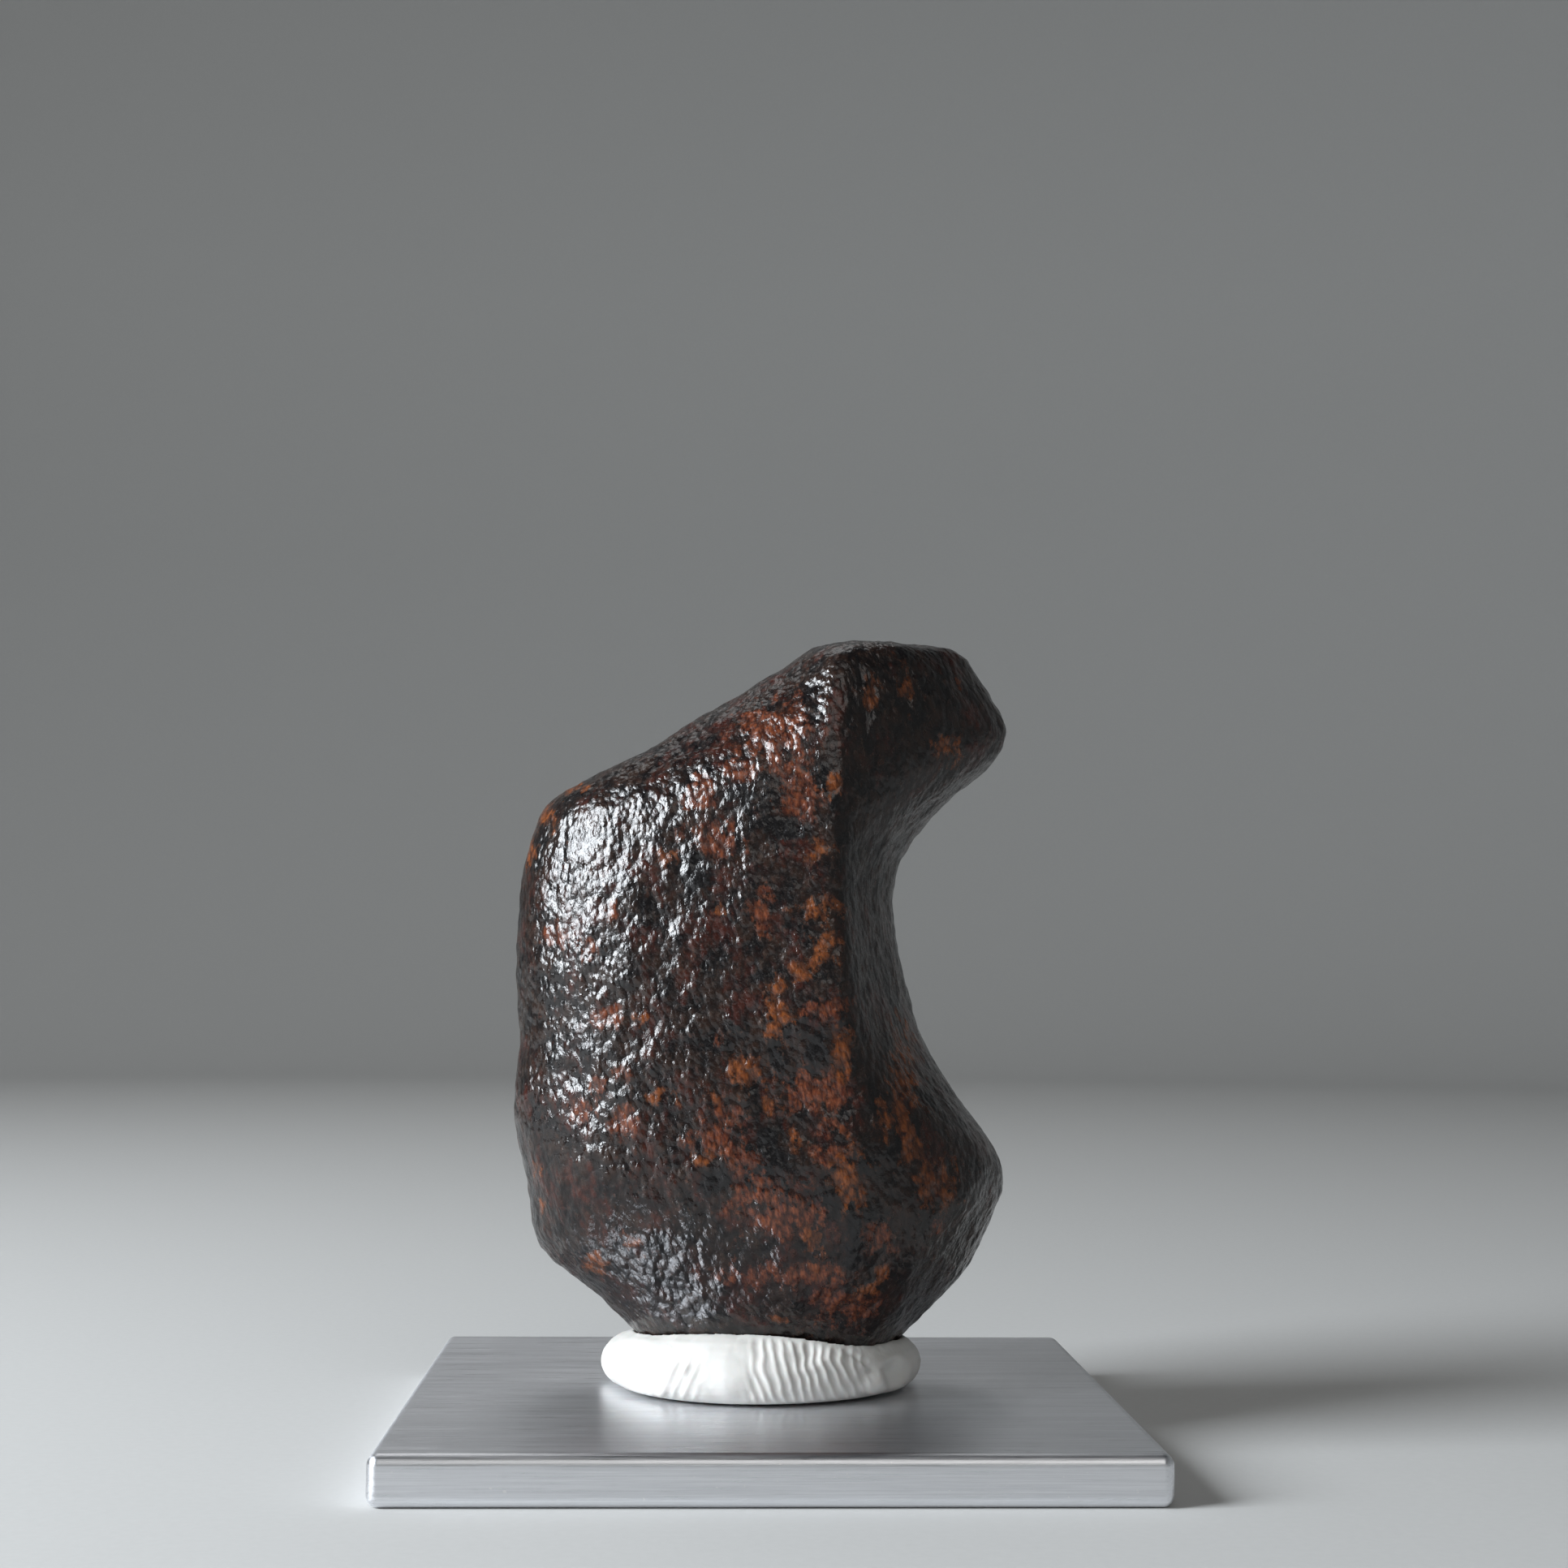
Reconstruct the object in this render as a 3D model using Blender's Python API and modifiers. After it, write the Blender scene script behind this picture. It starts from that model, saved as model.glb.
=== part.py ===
"""An iron meteorite held upright by a blob of white putty on a small aluminium plate.

Metres, +Z up, +X right and +Y away from the viewer. The origin is the centre of the plate's underside.
"""

import bmesh
import bpy
from mathutils import Vector

MM = 0.001

# Plate: a square cut from flat bar, its edges rounded over
PLATE_SIDE = 45 * MM
PLATE_THICKNESS = 3 * MM
PLATE_EDGE_ROUND = 0.7 * MM
PLATE_ROUND_STEPS = 4

# Clearance that keeps neighbouring solids from sharing a face
GAP = 0.3 * MM

SMOOTHING_LEVELS = 2
FITTING_PASSES = 5

# Finishes: colour, roughness and metallic share
METEORITE_FINISH = ((0.075, 0.035, 0.022), 0.35, 0.4)
PUTTY_FINISH = ((0.80, 0.79, 0.76), 0.65, 0.0)
PLATE_FINISH = ((0.62, 0.64, 0.67), 0.32, 1.0)

# Meteorite: sections from the flat spot it rests on to its top, each as its height in mm, how much it
# rises for each mm towards the viewer, and its outline in mm. Every outline goes round in the same order:
# left rim, rolled front edge, two points across the front face, the ridge, the right-hand face, the right
# rim, then back to the left rim behind.
METEORITE_SECTIONS = (
    (4.6, 0.0, ((-5.0, 0.5), (-4.3, -2.4), (-2.0, -3.8), (1.0, -4.4), (4.0, -4.2), (6.0, -2.8),
                (7.0, 0.0), (6.2, 3.0), (4.0, 4.6), (1.0, 5.2), (-2.0, 4.7), (-4.2, 3.0))),
    (6.3, 0.0, ((-8.0, 0.8), (-7.0, -2.8), (-4.2, -5.0), (0.0, -6.0), (4.2, -6.0), (7.0, -4.4),
                (9.2, 0.6), (8.0, 4.4), (5.0, 6.6), (1.0, 7.2), (-3.2, 6.6), (-6.6, 4.2))),
    (9.0, 0.0, ((-11.1, 1.2), (-9.4, -3.0), (-5.2, -6.0), (-0.5, -7.5), (4.2, -7.8), (8.0, -6.6),
                (12.2, 0.8), (11.0, 5.4), (7.0, 8.2), (1.5, 8.8), (-4.2, 8.0), (-9.0, 5.4))),
    (11.6, 0.0, ((-14.4, 1.5), (-12.0, -3.2), (-6.8, -6.6), (-1.0, -8.4), (4.6, -8.8), (9.2, -7.4),
                 (13.9, 0.8), (12.8, 6.0), (8.2, 9.2), (1.5, 9.8), (-5.4, 9.0), (-11.8, 6.2))),
    (14.0, 0.0, ((-15.1, 1.8), (-13.4, -3.4), (-8.0, -7.2), (-1.5, -9.0), (5.0, -9.4), (10.8, -7.2),
                 (15.0, 0.6), (14.0, 6.2), (8.8, 9.8), (1.5, 10.4), (-6.2, 10.0), (-12.8, 7.0))),
    (17.0, 0.0, ((-15.5, 2.0), (-14.2, -3.2), (-9.2, -7.2), (-2.0, -9.2), (5.2, -9.6), (12.3, -6.2),
                 (15.7, 0.4), (14.8, 6.4), (9.0, 10.2), (1.2, 10.2), (-6.8, 10.6), (-13.4, 7.4))),
    (20.5, 0.0, ((-16.3, 2.0), (-15.1, -2.8), (-10.2, -6.6), (-3.0, -8.8), (5.2, -9.6), (10.8, -6.4),
                 (13.5, 0.4), (12.8, 6.4), (8.2, 10.0), (0.8, 9.6), (-7.2, 10.8), (-14.2, 7.8))),
    (25.0, 0.0, ((-15.9, 2.0), (-15.0, -2.4), (-10.8, -6.0), (-3.4, -8.4), (5.0, -9.5), (8.2, -5.2),
                 (10.6, 1.0), (10.0, 6.0), (6.4, 9.4), (-0.4, 9.2), (-7.8, 10.7), (-14.2, 7.8))),
    (30.0, 0.0, ((-16.2, 2.0), (-15.3, -2.2), (-11.2, -5.6), (-3.8, -8.0), (4.6, -9.2), (6.8, -4.8),
                 (9.1, 1.2), (8.4, 6.0), (5.0, 9.2), (-1.4, 9.6), (-8.4, 10.4), (-14.4, 7.4))),
    (35.0, 0.0, ((-16.1, 2.0), (-15.1, -2.0), (-11.0, -5.2), (-3.8, -7.6), (4.3, -8.8), (6.5, -4.4),
                 (8.5, 1.2), (7.8, 5.8), (4.5, 9.2), (-1.8, 10.4), (-8.6, 9.8), (-14.2, 6.8))),
    (38.6, 0.0, ((-15.3, 2.0), (-14.3, -1.8), (-10.2, -4.9), (-3.2, -7.3), (4.3, -8.6), (7.2, -4.6),
                 (9.8, 1.0), (9.0, 5.4), (5.0, 8.8), (-1.2, 10.0), (-7.8, 9.2), (-13.2, 6.4))),
    (41.2, 0.0, ((-13.8, 2.0), (-12.5, -1.8), (-8.4, -4.8), (-2.0, -7.2), (4.3, -8.4), (8.6, -4.6),
                 (12.1, 0.6), (11.4, 5.2), (6.9, 8.2), (0.0, 9.0), (-6.4, 8.5), (-11.8, 6.0))),
    (43.6, 0.0, ((-9.3, 1.6), (-8.3, -2.0), (-5.0, -4.6), (-0.5, -6.8), (4.2, -8.0), (9.8, -4.6),
                 (14.8, 0.2), (13.8, 4.8), (9.2, 7.4), (3.0, 8.0), (-3.0, 7.6), (-7.6, 5.2))),
    (45.9, 0.0, ((-5.3, 1.2), (-4.6, -2.0), (-2.4, -4.3), (0.8, -6.2), (4.2, -7.5), (10.4, -4.4),
                 (15.7, 0.0), (14.8, 4.2), (10.6, 6.7), (5.0, 7.4), (0.2, 6.8), (-3.8, 4.6))),
    (48.2, 0.0, ((-1.3, 0.8), (-0.9, -2.0), (0.6, -4.0), (2.4, -5.6), (4.3, -6.8), (10.0, -4.1),
                 (14.6, -0.1), (13.8, 3.4), (10.4, 5.6), (6.4, 6.3), (2.6, 5.8), (-0.2, 3.8))),
    (50.3, -0.05, ((1.7, 0.6), (2.0, -2.0), (2.8, -3.8), (3.6, -4.8), (4.7, -5.6), (9.2, -3.6),
                   (13.3, -0.2), (12.5, 2.2), (10.0, 3.9), (7.2, 4.6), (4.4, 4.2), (2.4, 2.8))),
    (51.3, -0.1, ((3.6, 0.4), (3.7, -1.4), (4.1, -2.7), (4.7, -3.6), (5.6, -4.1), (8.8, -2.7),
                  (11.5, -0.3), (10.8, 1.3), (9.2, 2.3), (7.5, 2.6), (5.7, 2.4), (4.3, 1.6))),
)

# The hard edges of the meteorite: which point of the outlines each follows, the sections that it runs
# through, and how sharp it is, from 0 to 1
METEORITE_EDGES = (
    ("front ridge", 4, range(5, 16), 0.55),
    ("upper left edge", 1, range(11, 16), 0.4),
    ("lower right edge", 5, range(1, 6), 0.45),
)

# Putty: its outline on the plate in mm, and each level section as its height, its rise for each mm
# towards the viewer and its share of the outline. The two lowest sections make the flat underside.
PUTTY_OUTLINE = ((-10.7, 1.2), (-9.3, -3.4), (-6.2, -7.3), (-1.2, -8.8), (3.6, -8.0), (8.2, -5.4),
                 (10.7, 0.4), (9.5, 5.2), (5.6, 8.4), (0.0, 9.4), (-5.6, 8.6), (-9.5, 5.8))
PUTTY_BOTTOM = (PLATE_THICKNESS + GAP) / MM
PUTTY_SECTIONS = (
    (PUTTY_BOTTOM, 0.0, 0.6),
    (PUTTY_BOTTOM, 0.0, 0.97),
    (4.6, 0.0, 1.05),
    (6.4, 0.1, 0.96),
    (6.9, 0.11, 0.55),
)


def clear_scene():
    """Remove whatever the scene already holds."""
    for old in list(bpy.data.objects):
        bpy.data.objects.remove(old, do_unlink=True)


def new_collection(name):
    collection = bpy.data.collections.new(name)
    bpy.context.scene.collection.children.link(collection)
    return collection


def material(name, finish):
    colour, roughness, metallic = finish
    made = bpy.data.materials.new(name)
    made.use_nodes = True
    shader = made.node_tree.nodes["Principled BSDF"]
    shader.inputs["Base Color"].default_value = (*colour, 1.0)
    shader.inputs["Roughness"].default_value = roughness
    shader.inputs["Metallic"].default_value = metallic
    made.diffuse_color = (*colour, 1.0)
    return made


def loft(name, sections, collection):
    """A closed cage through sections that all have the same number of points, capped at both ends."""
    cage = bmesh.new()
    rings = []
    for height, rise, outline in sections:
        rings.append([cage.verts.new(Vector((x, y, height - rise * y)) * MM) for x, y in outline])
    count = len(rings[0])
    for lower, upper in zip(rings, rings[1:]):
        for i in range(count):
            j = (i + 1) % count
            cage.faces.new((lower[i], lower[j], upper[j], upper[i]))
    cage.faces.new(rings[0][::-1])
    cage.faces.new(rings[-1])
    mesh = bpy.data.meshes.new(name)
    cage.to_mesh(mesh)
    cage.free()
    piece = bpy.data.objects.new(name, mesh)
    collection.objects.link(piece)
    return piece


def harden_edges(piece, points_in_outline, edges):
    """Keep the named edges that run up a loft harder than the rest of its smoothed surface."""
    hardness = piece.data.attributes.new("crease_edge", "FLOAT", "EDGE")
    for _, point, sections, sharpness in edges:
        wanted = {point + points_in_outline * section for section in sections}
        for edge in piece.data.edges:
            if set(edge.vertices) <= wanted:
                hardness.data[edge.index].value = sharpness


def smooth(piece):
    smoothing = piece.modifiers.new("Smooth form", "SUBSURF")
    smoothing.levels = SMOOTHING_LEVELS
    smoothing.render_levels = SMOOTHING_LEVELS
    piece.data.shade_smooth()


def smooth_through_points(piece):
    """Smooth a cage, and push it out until the smoothed surface passes through the cage's first points."""
    smooth(piece)
    targets = [point.co.copy() for point in piece.data.vertices]
    for _ in range(FITTING_PASSES):
        graph = bpy.context.evaluated_depsgraph_get()
        smoothed = piece.evaluated_get(graph).to_mesh()
        misses = [target - smoothed.vertices[i].co for i, target in enumerate(targets)]
        for point, miss in zip(piece.data.vertices, misses):
            point.co += miss
        piece.data.update()


def meteorite(collection):
    stone = loft("meteorite", METEORITE_SECTIONS, collection)
    harden_edges(stone, len(METEORITE_SECTIONS[0][2]), METEORITE_EDGES)
    smooth_through_points(stone)
    stone.data.materials.append(material("Meteorite", METEORITE_FINISH))
    return stone


def stone_socket(stone, collection):
    """The stone swollen by the clearance, which presses its own shape into the putty."""
    socket = stone.copy()
    socket.data = stone.data.copy()
    socket.name = "stone_socket"
    collection.objects.link(socket)
    swell = socket.modifiers.new("Clearance", "DISPLACE")
    swell.strength = GAP
    swell.mid_level = 0.0
    socket.hide_render = True
    socket.display_type = "WIRE"
    return socket


def putty(stone, collection, cutters):
    sections = [(height, rise, [(x * share, y * share) for x, y in PUTTY_OUTLINE])
                for height, rise, share in PUTTY_SECTIONS]
    blob = loft("putty", sections, collection)
    smooth(blob)
    seat = blob.modifiers.new("Seat of the stone", "BOOLEAN")
    seat.operation = "DIFFERENCE"
    seat.solver = "EXACT"
    seat.object = stone_socket(stone, cutters)
    blob.data.materials.append(material("Putty", PUTTY_FINISH))
    return blob


def plate(collection):
    bpy.ops.mesh.primitive_cube_add(size=1.0, location=(0.0, 0.0, PLATE_THICKNESS / 2))
    square = bpy.context.object
    square.name = "plate"
    square.data.name = "plate"
    square.scale = (PLATE_SIDE, PLATE_SIDE, PLATE_THICKNESS)
    bpy.ops.object.transform_apply(location=False, rotation=False, scale=True)
    for holder in list(square.users_collection):
        holder.objects.unlink(square)
    collection.objects.link(square)
    rounding = square.modifiers.new("Eased edges", "BEVEL")
    rounding.width = PLATE_EDGE_ROUND
    rounding.segments = PLATE_ROUND_STEPS
    square.data.shade_smooth()
    square.data.materials.append(material("Brushed aluminium", PLATE_FINISH))
    return square


def main():
    clear_scene()
    parts = new_collection("iron_meteorite")
    cutters = new_collection("cutters")
    cutters.hide_render = True
    stone = meteorite(parts)
    putty(stone, parts, cutters)
    plate(parts)


main()
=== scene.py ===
"""Looks of an iron meteorite that stands in white mounting putty on a brushed aluminium plate.

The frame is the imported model's: +X right, +Y away from the viewer and +Z up, with the origin at the
centre of the plate's underside. Meshes are worked out in millimetres and made in metres.
"""

import math

import bmesh
import bpy
import numpy as np
from mathutils import Matrix, Vector, noise
from mathutils.bvhtree import BVHTree


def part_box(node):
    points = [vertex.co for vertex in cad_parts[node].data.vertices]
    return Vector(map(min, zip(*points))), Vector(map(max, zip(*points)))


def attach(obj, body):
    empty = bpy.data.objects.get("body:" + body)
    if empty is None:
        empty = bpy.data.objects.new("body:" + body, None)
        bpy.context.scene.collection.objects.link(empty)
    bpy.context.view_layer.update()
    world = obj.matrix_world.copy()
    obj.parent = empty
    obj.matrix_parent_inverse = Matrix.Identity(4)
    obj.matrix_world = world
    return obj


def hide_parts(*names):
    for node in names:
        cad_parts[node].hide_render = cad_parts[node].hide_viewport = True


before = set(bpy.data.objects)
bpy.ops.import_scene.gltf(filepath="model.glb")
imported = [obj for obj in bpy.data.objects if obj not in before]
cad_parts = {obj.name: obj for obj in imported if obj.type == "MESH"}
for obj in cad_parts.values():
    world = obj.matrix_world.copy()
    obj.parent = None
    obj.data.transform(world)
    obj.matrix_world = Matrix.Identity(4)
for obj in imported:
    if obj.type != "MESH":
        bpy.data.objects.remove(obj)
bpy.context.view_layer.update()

MM = 0.001
IMAGE_SIDE = 1932

# Camera, at the photograph's viewing angle, in millimetres and degrees, with its clipping in metres
CAMERA_PLACE = (-4.599, -160.324, 29.440)
CAMERA_FOCAL_PIXELS = 3011.3
CAMERA_SENSOR = 36.0
CAMERA_YAW_RIGHT = 2.051
CAMERA_PITCH_UP = 4.498
CAMERA_ROLL = 0.411
CAMERA_CLIP = (0.01, 10.0)

# Studio, in millimetres and degrees round the object. Azimuth 0 is the camera's side and 90 is the left
OBJECT_MIDDLE = (0.0, 0.0, 27.0)
WORLD_GREY = (0.80, 0.86, 0.95, 1.0)
WORLD_STRENGTH = 0.05
WHITE = (1.0, 1.0, 1.0)
COOL_WHITE = (0.90, 0.95, 1.0)
WARM_WHITE = (1.0, 0.98, 0.95)
BACKDROP_AIM = (-320.0, 800.0, 140.0)
LIGHTS = {
    "key": dict(
        azimuth=68, elevation=24, distance=420, size=(190, 220), radiance=27.0, colour=COOL_WHITE
    ),
    "front_fill": dict(
        azimuth=-8, elevation=38, distance=620, size=(420, 300), radiance=1.2, colour=WARM_WHITE
    ),
    "back_top": dict(
        azimuth=165, elevation=58, distance=600, size=(360, 300), radiance=1.2, colour=WHITE
    ),
    "backdrop": dict(
        azimuth=150, elevation=60, distance=520, size=(500, 300), radiance=0.5, colour=WHITE, aim=BACKDROP_AIM
    ),
}

# Paper sweep, in millimetres: the flat floor, the curve up and the wall
FLOOR_RADIUS = 560.0
SWEEP_RADIUS = 320.0
SWEEP_STEPS = 24
WALL_HEIGHT = 900.0
TURN_STEPS = 128
TURN_WELD = 0.01
PAPER_GRAIN = 0.6
PAPER_DARK = (0.52, 0.52, 0.51, 1)
PAPER_PALE = (0.56, 0.56, 0.55, 1)
PAPER_ROUGHNESS = 0.9
PAPER_SPECULAR = 0.2

# Values between which most of a shader noise lies
NOISE_RANGE = (0.3, 0.7)
# How far each smoothing pass moves a vertex towards the middle of its neighbours
SMOOTHING_FACTOR = 0.5

# Stone mesh, in millimetres
STONE_WELD = 0.002
STONE_GRID = 0.24
STONE_SMOOTHING = 45
# Stone relief, in millimetres: size of the lumps along each axis, their height and the noise octaves
SWELLS = ((6.0, 6.0, 7.0), 0.17, 2)
DIMPLES = ((2.6, 2.6, 3.2), 0.085, 2)
PEBBLES = ((0.85, 0.85, 1.25), 0.09, 2)
RELIEF_SHIFT = 17.0

# Rust patches on the front of the stone, in millimetres: centre across and up, half width and half height
RED_PATCHES = (
    (0.3, 44.6, 1.9, 1.9), (-4.3, 41.0, 0.8, 0.9), (-2.1, 42.4, 0.9, 0.9), (1.8, 40.7, 0.9, 1.6),
    (-3.5, 37.9, 1.3, 1.0), (-9.8, 33.2, 0.4, 0.6), (-13.8, 32.1, 0.8, 0.6), (-11.4, 31.1, 0.5, 0.5),
    (-0.4, 33.4, 0.5, 1.1), (-10.2, 26.9, 0.8, 0.6), (-3.0, 25.5, 0.4, 0.4), (-9.1, 23.5, 0.5, 0.5),
    (-10.6, 22.4, 0.6, 0.6), (-11.6, 20.9, 0.6, 0.6), (-8.9, 20.4, 0.8, 0.8), (-3.0, 19.8, 1.2, 1.3),
    (-0.4, 16.9, 1.5, 1.9), (2.9, 22.4, 1.4, 1.3), (1.2, 11.2, 3.2, 0.7), (3.5, 27.5, 1.2, 0.6),
    (4.2, 22.2, 0.8, 1.4), (3.5, 18.7, 0.8, 0.8), (1.3, 14.7, 1.8, 1.1), (5.9, 13.6, 1.4, 0.8),
    (5.8, 9.0, 1.0, 0.9), (3.8, 9.5, 1.0, 1.1), (10.6, 13.8, 0.4, 0.7),
)
ORANGE_PATCHES = (
    (2.8, 37.2, 0.8, 0.6), (-3.0, 33.5, 0.4, 0.4), (-6.4, 36.9, 0.8, 0.4), (3.0, 33.5, 1.4, 0.6),
    (3.4, 31.4, 0.7, 0.8), (2.0, 29.8, 0.7, 0.5), (-7.9, 26.9, 0.6, 0.5), (-1.4, 23.4, 0.9, 0.9),
    (-6.8, 22.0, 0.8, 0.5), (-3.4, 22.1, 0.4, 0.4), (-4.0, 18.1, 0.8, 0.4), (0.3, 21.6, 0.5, 0.6),
    (0.5, 27.2, 0.7, 1.4), (-14.5, 17.2, 0.3, 0.5), (-14.3, 14.7, 0.3, 0.5), (-10.8, 11.4, 0.7, 0.8),
    (-8.4, 12.8, 0.6, 0.5), (4.4, 24.8, 0.6, 1.3), (1.5, 19.4, 0.4, 0.9), (8.7, 23.7, 0.9, 2.2),
    (7.8, 20.7, 1.0, 1.1), (8.9, 19.0, 0.7, 0.9), (10.6, 16.7, 1.1, 1.3), (5.0, 16.8, 1.0, 1.8),
    (2.7, 13.0, 0.6, 1.0), (7.0, 11.2, 0.4, 0.4), (5.9, 10.2, 0.6, 0.4), (0.7, 8.3, 0.4, 0.2),
    (6.3, 47.3, 0.5, 0.8), (8.7, 48.0, 0.4, 0.9), (11.5, 44.2, 0.8, 0.8), (12.5, 48.5, 0.3, 0.4),
    (3.9, 41.5, 0.7, 0.6), (-13.0, 41.6, 1.2, 0.4), (-14.4, 39.8, 0.7, 0.8), (-15.4, 37.4, 0.4, 1.0),
)
BLACK_PATCHES = (
    (-2.0, 40.9, 0.8, 0.6), (-4.7, 35.7, 0.8, 1.4), (-3.2, 16.9, 0.7, 0.8), (0.4, 18.4, 1.1, 1.6),
    (3.1, 24.8, 0.6, 1.0), (5.2, 13.3, 0.6, 1.5), (1.0, 38.6, 1.2, 0.6),
)
# Distances from a patch's centre at which it starts to fade and at which it ends, in its half sizes
PATCH_FADE = (0.1, 2.3)
# How squarely the surface faces the viewer where those patches start to show and where they show in full
PATCH_FRONT = (-0.25, 0.10)
RAGGED_EDGE = dict(size=(0.9, 0.9, 1.1), octaves=3, shift=5.0)
RAGGED_DEPTH = 0.9
# Patches on the rest of the stone come from noise, and these are its values at no cover and at full cover
RED_ELSEWHERE = dict(size=(2.4, 2.4, 3.0), octaves=3, shift=31.0)
RED_RANGE = (0.05, 0.5)
ORANGE_ELSEWHERE = dict(size=(2.0, 2.0, 2.6), octaves=3, shift=47.0)
ORANGE_RANGE = (0.22, 0.6)

# Stone colours, linear
NEAR_BLACK = (0.0042, 0.0036, 0.0040, 1)
DARK_BROWN = (0.020, 0.0105, 0.0075, 1)
GREY_BROWN = (0.045, 0.026, 0.018, 1)
DARK_RED = (0.050, 0.011, 0.0065, 1)
RED_BROWN = (0.165, 0.047, 0.019, 1)
DEEP_ORANGE = (0.10, 0.026, 0.008, 1)
RUST_ORANGE = (0.20, 0.058, 0.014, 1)

# Stone finish: the mottling leans and stretches upwards, and its sizes are in millimetres
LEANING = dict(scale=(1.0, 1.0, 0.68), turn=(0, 16, 0))
FIBROUS = dict(scale=(1.0, 1.0, 0.28), turn=(0, 12, 0))
FIBRE_SIZE = 0.16
BLOTCH_SIZE = 1.5
CLUMP_SIZE = 0.9
SPECK_SIZE = 0.35
STAIN_SIZE = 2.2
HOLLOW_SIZE = 0.42
HOLLOW_SMOOTHNESS = 0.3
GRAIN_SIZE = 0.2
CLUMP_SWING = 2.6
SPECK_SWING = 1.4
# Noise values at which each colour starts and is full, and where given its cover at both
BROWN_BLOTCHES = (0.38, 0.62)
GREY_SPECKS = (0.52, 0.72, 0.0, 0.6)
RED_STAINS = (0.50, 0.66, 0.0, 0.75)
RED_COVER = (0.30, 0.95)
ORANGE_COVER = (0.35, 1.05)
BLACK_COVER = (0.3, 0.8)
# Painted shade: the last one darkens the creases between the pebbles, where the bump sinks, towards near
# black
PAINTED_CREASE_SHADE = (0.35, 0.75, 0.0, 0.65)
# Depths of the bumps that are too fine for the mesh, in millimetres
HOLLOW_DEPTH = 0.075
GRAIN_DEPTH = 0.035
FIBRE_DEPTH = 0.010
# Roughness at the low and the high end of the speck noise
STONE_ROUGHNESS = (0.14, 0.30)
STONE_IOR = 1.52

# Plate, in millimetres and degrees
PLATE_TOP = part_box("plate")[1][2] / MM
PLATE_EDGE_ROUND = 0.7
PLATE_EDGE_STEPS = 10
PLATE_SHARP_ANGLE = 40.0
# Brushed aluminium: fine lines and wide bands drawn out along X, and bright specks, with sizes in millimetres
LINE_SIZE = 0.10
LINE_STRETCH = (0.012, 1.0, 1.0)
LINE_DEPTH = 0.006
BAND_SIZE = 1.2
BAND_STRETCH = (0.02, 1.0, 1.0)
BAND_COVER = (0.35, 0.7, 0.0, 0.35)
METAL_SPECK_SIZE = 0.28
METAL_SPECK_COVER = (0.74, 0.79)
LINE_GREY = (0.76, 0.77, 0.80, 1)
LINE_WHITE = (0.94, 0.95, 0.98, 1)
BAND_GREY = (0.62, 0.63, 0.66, 1)
METAL_SPECK_WHITE = (0.92, 0.92, 0.93, 1)
METAL_ROUGHNESS = (0.26, 0.42)
METAL_ANISOTROPY = 0.6
BRUSHING_WAY = (1.0, 0.03, 0.0)

# Putty mesh, in millimetres. The CAD leaves a gap round it, which closes here towards the plate and the stone
PUTTY_GRID = 0.1
PUTTY_SMOOTHING = 6
CONTACT_GAP = 0.3
# The gap that stays at the stone, and how quickly the pull towards the stone fades with distance
TOUCH = 0.02
PULL_REACH = 0.8
# Heights between which the putty goes from moving down on to the plate to staying where it is
SETTLING = (3.3, 5.2)
# The distance from the stone and the heights over which the relief sets in
CLEAR_OF_STONE = (0.45, 1.1)
CLEAR_OF_PLATE = (3.35, 3.9)
FOOT = (3.0, 3.5)
# Keeps the direction away from the stone finite
SMALLEST_DISTANCE = 1e-6

# Putty relief, in millimetres
WAVER = dict(size=(2.2, 2.2, 1.4), octaves=2, shift=3.0)
WAVER_HEIGHT = 0.05
LUMPS = dict(size=(4.0, 4.0, 2.5), octaves=2, shift=11.0)
LUMP_HEIGHT = 0.10
RIDGE_PITCH = 0.62
RIDGE_HEIGHT = 0.08
RIDGE_SHARPNESS = 1.6
# Where ridges on the front set in, going towards the viewer
RIDGE_FRONT = (1.0, 3.0)
# A fan of ridges at the right of the front: where it starts and ends, its bend, its lean and its waver
FAN_START = (-1.6, -0.4)
FAN_END = (5.6, 7.0)
FAN_FOOT = (3.2, 3.8)
FAN_MIDDLE = 5.0
FAN_BEND = 0.10
FAN_LEAN = 0.35
FAN_WAVER = 0.28
# Slanting ridges at the left of the front
SLANT_START = (-7.6, -6.6)
SLANT_END = (-4.6, -3.8)
SLANT_TOP = (5.4, 6.4)
SLANT_LEAN = 0.5
SLANT_WAVER = 0.12
SLANT_SHARE = 0.8
# Arched ridges round the back, in patches on the side of the mound
PATCHES = dict(size=(3.0, 3.0, 2.0), octaves=2, shift=23.0)
PATCHES_RANGE = (-0.25, 0.25)
MOUND_RADII = (10.4, 8.9)
MOUND_MIDDLE = 0.3
MOUND_SIDE = (0.72, 0.86)
ARCH_START = (-1.5, 1.0)
ARCH_RADIUS = 9.0
ARCH_BEND = 0.9
ARCH_MIDDLE = 4.5
ARCH_LEAN = 0.5
ARCH_WAVER = 0.3
# Thumb dents and pinched lumps on the front: centre across and up, radius and height
PUTTY_MARKS = (
    (-7.6, 5.0, 1.5, -0.35), (-6.3, 6.0, 0.5, -0.10), (-4.3, 5.1, 0.6, -0.08), (6.9, 4.3, 0.9, 0.30),
    (8.2, 4.7, 0.9, -0.30), (-2.2, 4.9, 1.4, 0.10), (2.6, 6.3, 1.0, -0.10),
)
MARK_FRONT = (-1.0, 2.0)
MARK_SQUASH = 1.3
MARK_FALL = 1.6
# The rim that each mark pushes up: its radius and width as shares of the mark's, and its share of the height
RIM_RADIUS = 1.15
RIM_WIDTH = 0.3
RIM_SHARE = 0.35
# A crease from the top towards the right, by its two ends across and up
CREASE_START = np.array((3.5, 7.3))
CREASE_END = np.array((6.6, 5.2))
CREASE_FRONT = (0.0, 2.0)
CREASE_DEPTH = 0.10
CREASE_WIDTH = 0.16

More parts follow.
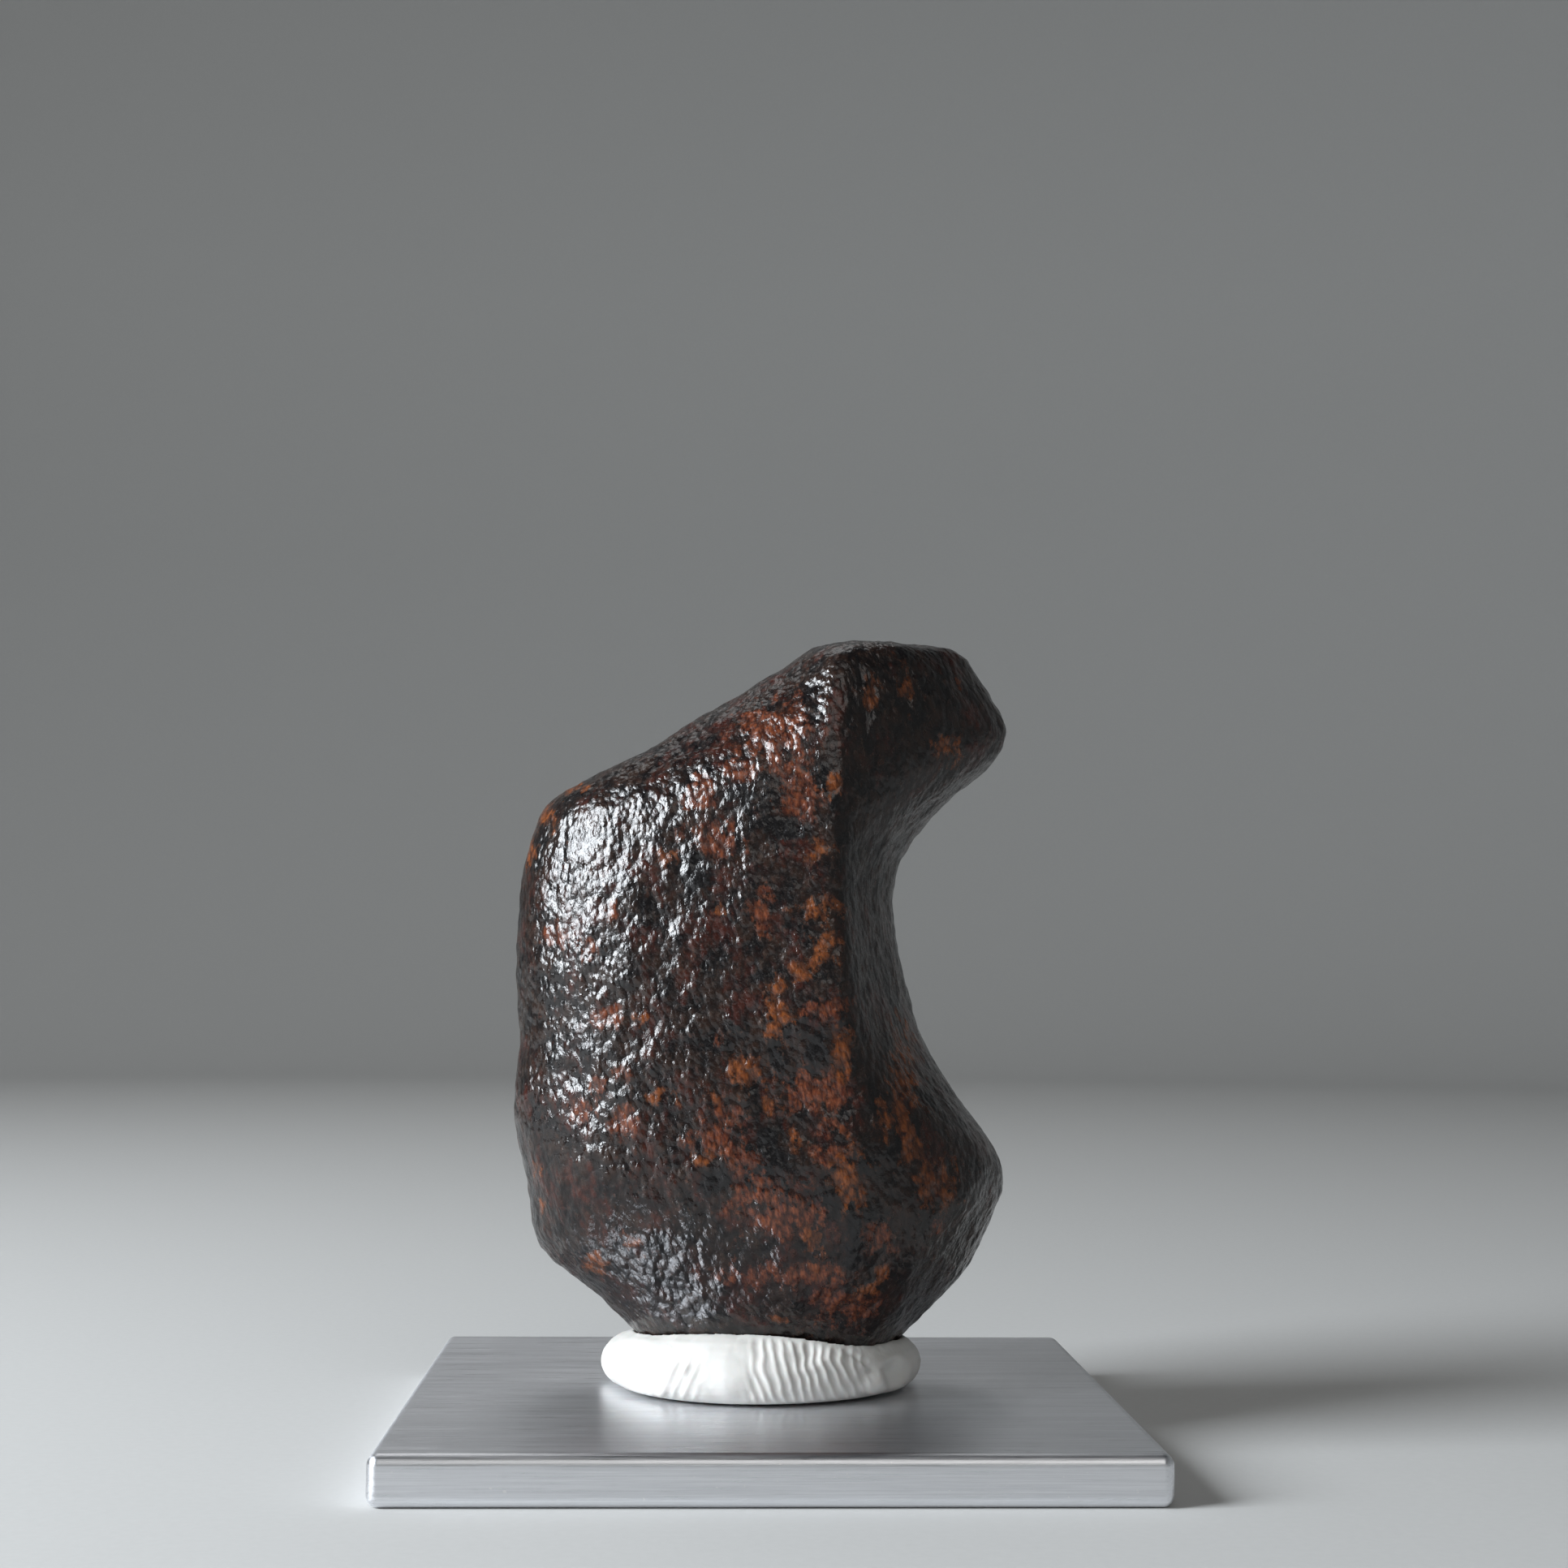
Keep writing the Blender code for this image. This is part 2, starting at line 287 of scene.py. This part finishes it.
# Putty finish
PUTTY_MOTTLE = 1.6
PUTTY_GRAIN = 0.15
PUTTY_GRAIN_DEPTH = 0.006
PUTTY_GREY = (0.58, 0.565, 0.53, 1)
PUTTY_WHITE = (0.68, 0.67, 0.645, 1)
PUTTY_ROUGHNESS = (0.42, 0.60)
PUTTY_TRANSLUCENCE = 0.08
PUTTY_SCATTER = 1.0


class Shader:
    """One material's nodes, with short calls for the ones that the finishes use."""

    def __init__(self, name):
        self.material = bpy.data.materials.new(name)
        self.material.use_nodes = True
        self.tree = self.material.node_tree
        self.surface = self.tree.nodes["Principled BSDF"]
        where = self.node("ShaderNodeTexCoord").outputs["Object"]
        scaled = self.node("ShaderNodeVectorMath", {0: where, "Scale": 1.0 / MM}, operation="SCALE")
        self.millimetres = scaled.outputs["Vector"]

    def feed(self, socket, value):
        """Links an output to the socket, or gives it a plain value."""
        if isinstance(value, bpy.types.NodeSocket):
            self.tree.links.new(value, socket)
        else:
            socket.default_value = value

    def node(self, kind, inputs=None, **settings):
        made = self.tree.nodes.new(kind)
        for name, value in settings.items():
            setattr(made, name, value)
        for name, value in (inputs or {}).items():
            self.feed(made.inputs[name], value)
        return made

    def value(self, operation, a, b):
        return self.node("ShaderNodeMath", {0: a, 1: b}, operation=operation).outputs[0]

    def swing(self, noise_value, height):
        """Noise turned into a swing about zero, of this height."""
        return self.value("MULTIPLY", self.value("SUBTRACT", noise_value, 0.5), height)

    def placed(self, scale=(1, 1, 1), turn=(0, 0, 0)):
        """Coordinates in millimetres, turned by degrees and then stretched."""
        angles = [math.radians(angle) for angle in turn]
        turned = self.node("ShaderNodeMapping", {"Vector": self.millimetres, "Rotation": angles})
        return self.node("ShaderNodeMapping", {"Vector": turned.outputs[0], "Scale": scale}).outputs[0]

    def noise(self, size, where=None, detail=3.0, roughness=0.55):
        """Noise from 0 to 1 whose largest lumps are about size millimetres across."""
        inputs = {
            "Vector": where or self.millimetres,
            "Scale": 1.0 / size,
            "Detail": detail,
            "Roughness": roughness,
        }
        return self.node("ShaderNodeTexNoise", inputs).outputs[0]

    def cells(self, size, where, smoothness):
        """The distance to the middle of the nearest cell, for cells about size millimetres across."""
        inputs = {"Vector": where, "Scale": 1.0 / size, "Smoothness": smoothness}
        return self.node("ShaderNodeTexVoronoi", inputs, feature="SMOOTH_F1").outputs["Distance"]

    def band(self, value, low, high, to_low=0.0, to_high=1.0):
        """A smooth step from to_low to to_high as value goes from low to high."""
        inputs = {"Value": value, "From Min": low, "From Max": high, "To Min": to_low, "To Max": to_high}
        return self.node("ShaderNodeMapRange", inputs, interpolation_type="SMOOTHSTEP").outputs[0]

    def mix(self, factor, a, b):
        """Colour a where the factor is 0 and colour b where it is 1."""
        return self.node("ShaderNodeMix", {0: factor, 6: a, 7: b}, data_type="RGBA").outputs[2]

    def attribute(self, name):
        return self.node("ShaderNodeAttribute", attribute_name=name).outputs["Fac"]

    def bump(self, height, depth, under=None):
        """A normal for relief of this depth in millimetres, on top of another normal."""
        made = self.node("ShaderNodeBump", {"Height": height, "Distance": depth * MM})
        if under is not None:
            self.feed(made.inputs["Normal"], under)
        return made.outputs[0]

    def finish(self, **sockets):
        for name, value in sockets.items():
            self.feed(self.surface.inputs[name.replace("_", " ")], value)
        return self.material


def new_object(name, data):
    made = bpy.data.objects.new(name, data)
    bpy.context.scene.collection.objects.link(made)
    return made


def evaluated_mesh(obj, name):
    """The object's mesh with its modifiers applied, and the object removed."""
    graph = bpy.context.evaluated_depsgraph_get()
    mesh = bpy.data.meshes.new_from_object(obj.evaluated_get(graph))
    mesh.name = name
    bpy.data.objects.remove(obj)
    return mesh


def even_mesh(mesh, name, grid_size, passes):
    """The mesh on an even grid of this size in millimetres, smoothed by this many passes."""
    shape = new_object(name, mesh)
    grid = shape.modifiers.new("grid", "REMESH")
    grid.mode = "VOXEL"
    grid.voxel_size = grid_size * MM
    smoothing = shape.modifiers.new("smoothing", "SMOOTH")
    smoothing.factor = SMOOTHING_FACTOR
    smoothing.iterations = passes
    return evaluated_mesh(shape, name)


def coordinates(mesh):
    flat = np.empty(len(mesh.vertices) * 3, np.float32)
    mesh.vertices.foreach_get("co", flat)
    return flat.reshape(-1, 3).astype(float) / MM


def normals(mesh):
    flat = np.empty(len(mesh.vertices) * 3, np.float32)
    mesh.vertices.foreach_get("normal", flat)
    return flat.reshape(-1, 3).astype(float)


def set_coordinates(mesh, points):
    mesh.vertices.foreach_set("co", (points * MM).astype(np.float32).ravel())
    mesh.update()


def set_attribute(mesh, name, values):
    made = mesh.attributes.new(name, "FLOAT", "POINT")
    made.data.foreach_set("value", np.asarray(values, np.float32))


def noise_field(points, size, octaves, shift):
    """Fractal noise at each point, about -1 to 1, with lumps of the given size along each axis."""
    scaled = points / np.asarray(size) + shift
    return np.array([noise.fractal(Vector(p), 1.0, 2.0, octaves) for p in scaled])


def step(values, low, high):
    """0 below low, 1 above high and smooth between."""
    t = np.clip((values - low) / (high - low), 0.0, 1.0)
    return t * t * (3.0 - 2.0 * t)


def between(values, start, end):
    """1 from the start to the end, and 0 outside, each with its own smooth step."""
    return step(values, *start) * (1.0 - step(values, *end))


def camera():
    data = bpy.data.cameras.new("camera")
    data.sensor_width = CAMERA_SENSOR
    data.lens = CAMERA_FOCAL_PIXELS / IMAGE_SIDE * CAMERA_SENSOR
    data.clip_start, data.clip_end = CAMERA_CLIP
    made = new_object("camera", data)
    turn = Matrix.Rotation(math.radians(-CAMERA_YAW_RIGHT), 4, "Z")
    lift = Matrix.Rotation(math.radians(90.0 + CAMERA_PITCH_UP), 4, "X")
    roll = Matrix.Rotation(math.radians(CAMERA_ROLL), 4, "Z")
    made.matrix_world = Matrix.Translation(Vector(CAMERA_PLACE) * MM) @ turn @ lift @ roll
    bpy.context.scene.camera = made


def around(azimuth, elevation, distance):
    """A place round the object's middle, in millimetres."""
    a = math.radians(azimuth)
    e = math.radians(elevation)
    away = Vector((-math.sin(a) * math.cos(e), -math.cos(a) * math.cos(e), math.sin(e)))
    return Vector(OBJECT_MIDDLE) + away * distance


def area_light(name, azimuth, elevation, distance, size, radiance, colour, aim=OBJECT_MIDDLE):
    data = bpy.data.lights.new(name, "AREA")
    data.shape = "RECTANGLE"
    data.size = size[0] * MM
    data.size_y = size[1] * MM
    data.color = colour
    data.energy = radiance * math.pi * data.size * data.size_y
    made = new_object(name, data)
    made.location = around(azimuth, elevation, distance) * MM
    made.rotation_euler = (Vector(aim) * MM - made.location).to_track_quat("-Z", "Y").to_euler()
    made.visible_camera = False


def paper():
    shader = Shader("studio_paper")
    grain = shader.noise(PAPER_GRAIN, detail=2.0)
    return shader.finish(
        Base_Color=shader.mix(grain, PAPER_DARK, PAPER_PALE),
        Roughness=PAPER_ROUGHNESS,
        Specular_IOR_Level=PAPER_SPECULAR,
    )


def sweep():
    """A round seamless floor that curves up into a wall all round."""
    profile = [(0.0, 0.0)]
    for i in range(SWEEP_STEPS + 1):
        angle = math.radians(90 * i / SWEEP_STEPS)
        radius = FLOOR_RADIUS + SWEEP_RADIUS * math.sin(angle)
        profile.append((radius, SWEEP_RADIUS * (1 - math.cos(angle))))
    profile.append((FLOOR_RADIUS + SWEEP_RADIUS, SWEEP_RADIUS + WALL_HEIGHT))
    mesh = bpy.data.meshes.new("studio_sweep")
    edges = [(i, i + 1) for i in range(len(profile) - 1)]
    mesh.from_pydata([(radius * MM, 0.0, height * MM) for radius, height in profile], edges, [])
    made = new_object("studio_sweep", mesh)
    turned = made.modifiers.new("turned", "SCREW")
    turned.steps = TURN_STEPS
    turned.render_steps = TURN_STEPS
    turned.use_merge_vertices = True
    turned.merge_threshold = TURN_WELD * MM
    turned.use_smooth_shade = True
    made.data.materials.append(paper())


def studio():
    world = bpy.data.worlds.new("studio")
    world.use_nodes = True
    background = world.node_tree.nodes["Background"]
    background.inputs["Color"].default_value = WORLD_GREY
    background.inputs["Strength"].default_value = WORLD_STRENGTH
    bpy.context.scene.world = world
    for name, facts in LIGHTS.items():
        area_light(name, **facts)
    sweep()
    bpy.context.scene.view_settings.view_transform = "Standard"


def stone_mesh():
    """The CAD stone on an even fine grid, with its facets smoothed away."""
    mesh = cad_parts["meteorite"].data.copy()
    welded = bmesh.new()
    welded.from_mesh(mesh)
    bmesh.ops.remove_doubles(welded, verts=welded.verts, dist=STONE_WELD * MM)
    welded.to_mesh(mesh)
    welded.free()
    return even_mesh(mesh, "iron_meteorite_stone", STONE_GRID, STONE_SMOOTHING)


def patch_cover(points, patches, ragged):
    """How far each point lies in one of the patches, from 0 to 1, with ragged edges."""
    cover = np.zeros(len(points))
    for across, up, half_width, half_height in patches:
        away = np.hypot((points[:, 0] - across) / half_width, (points[:, 2] - up) / half_height)
        cover = np.maximum(cover, 1.0 - step(away + ragged, *PATCH_FADE))
    return cover


def stone():
    mesh = stone_mesh()
    mesh.materials.clear()
    mesh.materials.append(stone_material())
    base = coordinates(mesh)
    out = normals(mesh)
    points = base.copy()
    for number, (size, height, octaves) in enumerate((SWELLS, DIMPLES, PEBBLES), start=1):
        relief = noise_field(base, size, octaves, RELIEF_SHIFT * number)
        points += out * (relief * height)[:, None]
    set_coordinates(mesh, points)
    front = step(-out[:, 1], *PATCH_FRONT)
    ragged = noise_field(base, **RAGGED_EDGE) * RAGGED_DEPTH
    red = step(noise_field(base, **RED_ELSEWHERE), *RED_RANGE) * (1.0 - front)
    orange = step(noise_field(base, **ORANGE_ELSEWHERE), *ORANGE_RANGE) * (1.0 - front)
    set_attribute(mesh, "red", patch_cover(base, RED_PATCHES, ragged) * front + red)
    set_attribute(mesh, "orange", patch_cover(base, ORANGE_PATCHES, ragged) * front + orange)
    set_attribute(mesh, "black", patch_cover(base, BLACK_PATCHES, ragged) * front)
    mesh.shade_smooth()
    piece = new_object("iron_meteorite_stone", mesh)
    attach(piece, "root")
    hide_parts("meteorite")
    return piece


def stone_material():
    shader = Shader("rust_mottled_iron")
    leaning = shader.placed(**LEANING)
    fibre = shader.noise(FIBRE_SIZE, where=shader.placed(**FIBROUS), detail=2.0)
    blotch = shader.noise(BLOTCH_SIZE, detail=4.0, roughness=0.6)
    clump = shader.noise(CLUMP_SIZE, where=leaning, detail=4.0, roughness=0.7)
    speck = shader.noise(SPECK_SIZE, where=leaning, detail=3.0, roughness=0.65)
    stain = shader.noise(STAIN_SIZE, where=leaning, detail=5.0, roughness=0.7)
    hollow = shader.cells(HOLLOW_SIZE, leaning, HOLLOW_SMOOTHNESS)
    grain = shader.noise(GRAIN_SIZE, where=leaning, detail=2.0, roughness=0.6)
    edge = shader.value("ADD", shader.swing(clump, CLUMP_SWING), shader.swing(speck, SPECK_SWING))

    colour = shader.mix(shader.band(blotch, *BROWN_BLOTCHES), NEAR_BLACK, DARK_BROWN)
    colour = shader.mix(shader.band(speck, *GREY_SPECKS), colour, GREY_BROWN)
    colour = shader.mix(shader.band(stain, *RED_STAINS), colour, DARK_RED)
    red = shader.mix(shader.band(fibre, *NOISE_RANGE), DARK_RED, RED_BROWN)
    orange = shader.mix(shader.band(fibre, *NOISE_RANGE), DEEP_ORANGE, RUST_ORANGE)
    layers = (("red", RED_COVER, red), ("orange", ORANGE_COVER, orange), ("black", BLACK_COVER, NEAR_BLACK))
    for name, cover, layer in layers:
        mask = shader.band(shader.value("ADD", shader.attribute(name), edge), *cover)
        colour = shader.mix(mask, colour, layer)
    # Painted shade: the creases between the pebbles, where the bump below sinks, go near black
    colour = shader.mix(shader.band(hollow, *PAINTED_CREASE_SHADE), colour, NEAR_BLACK)

    relief = shader.bump(hollow, -HOLLOW_DEPTH)
    relief = shader.bump(grain, GRAIN_DEPTH, under=relief)
    relief = shader.bump(fibre, FIBRE_DEPTH, under=relief)
    return shader.finish(
        Base_Color=colour,
        Roughness=shader.band(speck, *NOISE_RANGE, *STONE_ROUGHNESS),
        IOR=STONE_IOR,
        Normal=relief,
    )


def nearest_offsets(tree, points):
    """The distance of each point from the stone and the direction away from it."""
    near = np.array([tree.find_nearest(Vector(p))[0] for p in points])
    away = points - near
    distance = np.linalg.norm(away, axis=1)
    return distance, away / np.maximum(distance, SMALLEST_DISTANCE)[:, None]


def ridge_rows(across):
    """Rounded ridges from 0 to 1, one for each pitch of the distance across them in millimetres."""
    return (0.5 + 0.5 * np.cos(2 * math.pi * across / RIDGE_PITCH)) ** RIDGE_SHARPNESS


def front_ridges(points, waver):
    """The fan at the right of the front and the slanting ridges at its left, from 0 to 1."""
    x, y, z = points.T
    rise = z - FAN_MIDDLE
    fan = ridge_rows(x - FAN_BEND * rise**2 + FAN_LEAN * rise + FAN_WAVER * waver)
    fan *= between(x, FAN_START, FAN_END) * step(z, *FAN_FOOT)
    slant = ridge_rows((x - SLANT_LEAN * z) / math.hypot(1.0, SLANT_LEAN) + SLANT_WAVER * waver)
    slant *= between(x, SLANT_START, SLANT_END) * (1.0 - step(z, *SLANT_TOP))
    return (fan + SLANT_SHARE * slant) * step(-y, *RIDGE_FRONT)


def back_ridges(points, waver):
    """Arched ridges in patches round the back of the mound, from 0 to 1."""
    x, y, z = points.T
    arches = ARCH_RADIUS * np.arctan2(y - MOUND_MIDDLE, x) + ARCH_BEND * (z - ARCH_MIDDLE) ** 2
    arches += ARCH_LEAN * z + ARCH_WAVER * waver
    side = step(np.hypot(x / MOUND_RADII[0], (y - MOUND_MIDDLE) / MOUND_RADII[1]), *MOUND_SIDE)
    patches = step(noise_field(points, **PATCHES), *PATCHES_RANGE)
    return ridge_rows(arches) * step(y, *ARCH_START) * patches * side


def thumb_marks(points):
    """Height of the dents and lumps, each with the rim that it pushes up, in millimetres."""
    x, y, z = points.T
    height = np.zeros(len(points))
    for across, up, radius, depth in PUTTY_MARKS:
        away = np.hypot(x - across, (z - up) * MARK_SQUASH) / radius
        rim = RIM_SHARE * np.exp(-(((away - RIM_RADIUS) / RIM_WIDTH) ** 2))
        height += depth * (np.exp(-MARK_FALL * away**2) - rim)
    return height * step(-y, *MARK_FRONT)


def crease(points):
    """Height of the crease, which is below zero, in millimetres."""
    flat = points[:, (0, 2)] - CREASE_START
    along = CREASE_END - CREASE_START
    share = np.clip(flat @ along / (along @ along), 0, 1)
    away = np.linalg.norm(flat - share[:, None] * along, axis=1)
    return -CREASE_DEPTH * np.exp(-((away / CREASE_WIDTH) ** 2)) * step(-points[:, 1], *CREASE_FRONT)


def putty_relief(points):
    """Height of the lumps, ridges, marks and crease above the smooth putty, in millimetres."""
    waver = noise_field(points, **WAVER)
    height = LUMP_HEIGHT * noise_field(points, **LUMPS) + WAVER_HEIGHT * waver
    height += RIDGE_HEIGHT * (front_ridges(points, waver) + back_ridges(points, waver))
    height += thumb_marks(points) + crease(points)
    return height * step(points[:, 2], *FOOT)


def putty_material():
    shader = Shader("white_putty")
    mottle = shader.noise(PUTTY_MOTTLE, detail=4.0)
    grain = shader.noise(PUTTY_GRAIN, detail=3.0)
    return shader.finish(
        Base_Color=shader.mix(mottle, PUTTY_GREY, PUTTY_WHITE),
        Roughness=shader.band(mottle, *NOISE_RANGE, *PUTTY_ROUGHNESS),
        Subsurface_Weight=PUTTY_TRANSLUCENCE,
        Subsurface_Scale=PUTTY_SCATTER * MM,
        Normal=shader.bump(grain, PUTTY_GRAIN_DEPTH),
    )


def putty(stone_piece):
    """The CAD putty with its relief, let down on to the plate and drawn up to the stone."""
    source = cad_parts["putty"].data.copy()
    mesh = even_mesh(source, "mounting_putty", PUTTY_GRID, PUTTY_SMOOTHING)
    points = coordinates(mesh)
    out = normals(mesh)
    faces = [tuple(face.vertices) for face in stone_piece.data.polygons]
    tree = BVHTree.FromPolygons([Vector(p) for p in coordinates(stone_piece.data)], faces)
    settling = CONTACT_GAP * (1.0 - step(points[:, 2], *SETTLING))
    distance, away = nearest_offsets(tree, points)
    clear = step(distance, *CLEAR_OF_STONE) * step(points[:, 2], *CLEAR_OF_PLATE)
    points += out * (putty_relief(points) * clear)[:, None]
    distance, away = nearest_offsets(tree, points)
    pull = (CONTACT_GAP - TOUCH) * np.exp(-np.maximum(distance - CONTACT_GAP, 0.0) / PULL_REACH)
    points -= away * np.minimum(pull, np.maximum(distance - TOUCH, 0.0))[:, None]
    points[:, 2] = np.maximum(points[:, 2] - settling, PLATE_TOP)
    set_coordinates(mesh, points)
    mesh.materials.clear()
    mesh.materials.append(putty_material())
    mesh.shade_smooth()
    piece = new_object("mounting_putty", mesh)
    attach(piece, "root")
    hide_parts("putty")


def plate_shape():
    """The CAD plate's box with finely rounded edges."""
    low, high = [np.array(corner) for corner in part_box("plate")]
    mesh = bpy.data.meshes.new("brushed_plate")
    cube = bmesh.new()
    bmesh.ops.create_cube(cube, size=1.0)
    bmesh.ops.scale(cube, vec=high - low, verts=cube.verts)
    bmesh.ops.translate(cube, vec=(low + high) / 2, verts=cube.verts)
    cube.to_mesh(mesh)
    cube.free()
    shape = new_object("plate_shape", mesh)
    rounded = shape.modifiers.new("rounded", "BEVEL")
    rounded.width = PLATE_EDGE_ROUND * MM
    rounded.segments = PLATE_EDGE_STEPS
    return evaluated_mesh(shape, "brushed_plate")


def brushed_aluminium():
    shader = Shader("brushed_aluminium")
    lines = shader.noise(LINE_SIZE, where=shader.placed(scale=LINE_STRETCH), detail=4.0, roughness=0.75)
    bands = shader.noise(BAND_SIZE, where=shader.placed(scale=BAND_STRETCH), detail=3.0, roughness=0.7)
    speck = shader.noise(METAL_SPECK_SIZE, detail=1.0)
    metal = shader.mix(shader.band(lines, *NOISE_RANGE), LINE_GREY, LINE_WHITE)
    metal = shader.mix(shader.band(bands, *BAND_COVER), metal, BAND_GREY)
    metal = shader.mix(shader.band(speck, *METAL_SPECK_COVER), metal, METAL_SPECK_WHITE)
    normal = shader.node("ShaderNodeNewGeometry").outputs["Normal"]
    across = shader.node("ShaderNodeVectorMath", {0: normal, 1: BRUSHING_WAY}, operation="CROSS_PRODUCT")
    return shader.finish(
        Base_Color=metal,
        Metallic=1.0,
        Roughness=shader.band(lines, *NOISE_RANGE, *METAL_ROUGHNESS),
        Anisotropic=METAL_ANISOTROPY,
        Tangent=across.outputs["Vector"],
        Normal=shader.bump(lines, LINE_DEPTH),
    )


def plate():
    mesh = plate_shape()
    mesh.shade_smooth()
    mesh.set_sharp_from_angle(angle=math.radians(PLATE_SHARP_ANGLE))
    piece = new_object("brushed_plate", mesh)
    weighted = piece.modifiers.new("flat_faces", "WEIGHTED_NORMAL")
    weighted.keep_sharp = True
    mesh.materials.clear()
    mesh.materials.append(brushed_aluminium())
    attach(piece, "root")
    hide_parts("plate")


camera()
studio()
putty(stone())
plate()
